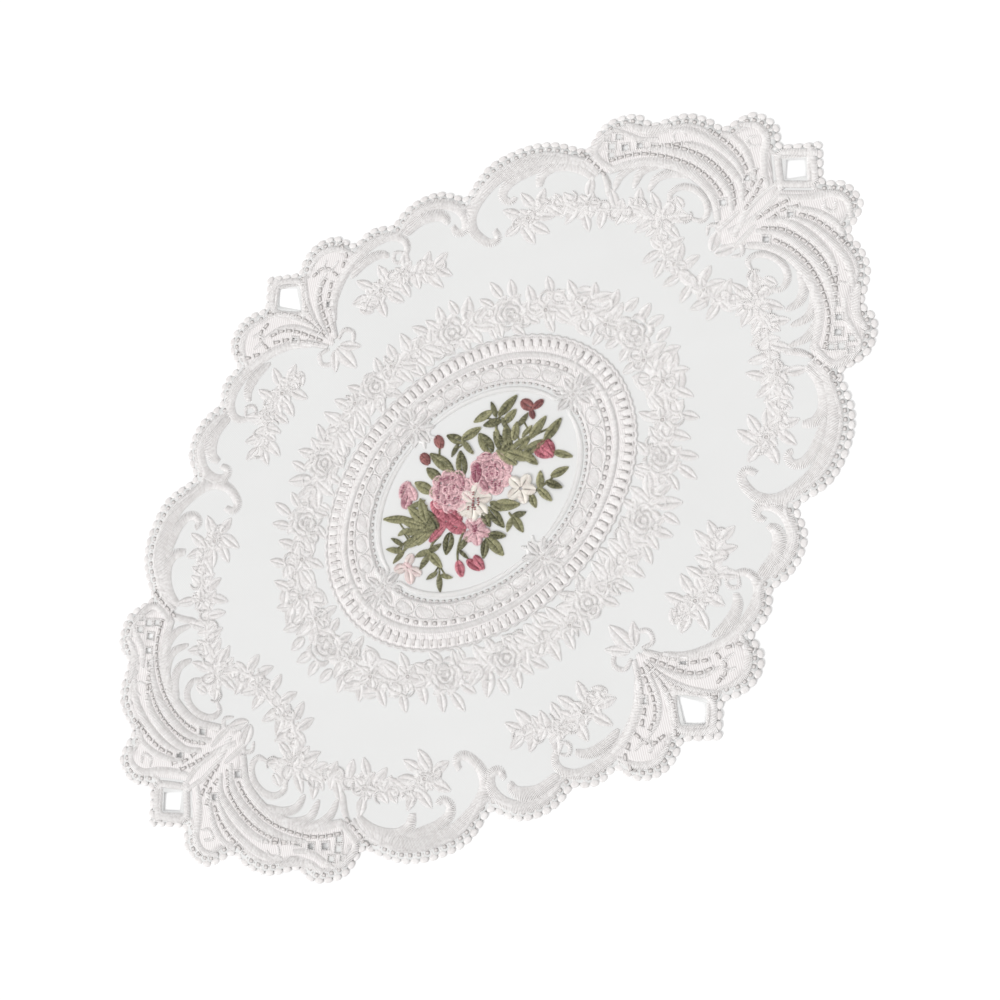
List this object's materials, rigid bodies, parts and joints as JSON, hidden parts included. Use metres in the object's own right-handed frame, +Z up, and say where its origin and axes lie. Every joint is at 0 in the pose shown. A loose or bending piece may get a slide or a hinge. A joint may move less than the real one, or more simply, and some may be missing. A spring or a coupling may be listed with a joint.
{
  "type": "lace placemat",
  "caption": "Flat oval lace placemat with a scalloped picot edge, white embroidered scrolls and roses, and a small coloured bouquet in an oval medallion.",
  "frame": {"origin": "centre of the mat on the surface it lies on", "axes": "+X along the mat's length, +Y across it towards the top of the bouquet, +Z up out of the cloth"},
  "size_m": [0.45, 0.314, 0.0028],
  "materials": {
    "white_lace": "white polyester voile with glossy white satin-stitch embroidery",
    "pink_thread": "glossy pink embroidery thread in short radiating stitches",
    "pale_pink_thread": "glossy pale pink embroidery thread",
    "deep_rose_thread": "glossy deep rose embroidery thread",
    "russet_thread": "glossy russet embroidery thread",
    "cream_thread": "glossy cream embroidery thread",
    "leaf_thread": "olive green embroidery thread with lighter and darker stitches"
  },
  "bodies": {
    "root": {"lace_cloth": "white_lace", "rose_left": "pink_thread", "rose_right": "pink_thread", "flower_pale": "cream_thread", "petals_deep": "deep_rose_thread", "flower_small_pink": "pink_thread", "flower_cream": "cream_thread", "bud_pink_top": "pink_thread", "bud_brown_left": "russet_thread", "bud_brown_right": "russet_thread", "bud_rust_right": "russet_thread", "bud_red_right": "deep_rose_thread", "bud_red_low": "deep_rose_thread", "bud_red_left": "deep_rose_thread", "flower_faint_pink": "pale_pink_thread", "sprig_top_left": "leaf_thread", "sprig_low_left": "leaf_thread", "sprig_low_middle": "leaf_thread", "leaves_low_left": "leaf_thread", "leaves_low_middle": "leaf_thread", "leaves_under_blooms": "leaf_thread", "sprig_low_right": "leaf_thread", "sprig_right": "leaf_thread", "leaf_right_low": "leaf_thread", "sprig_top_right": "leaf_thread", "leaves_top_right": "leaf_thread", "leaf_top_wide_right": "leaf_thread", "leaves_top_middle": "leaf_thread", "leaf_top_middle_left": "leaf_thread", "leaf_top_left": "leaf_thread"}
  },
  "joints": []
}
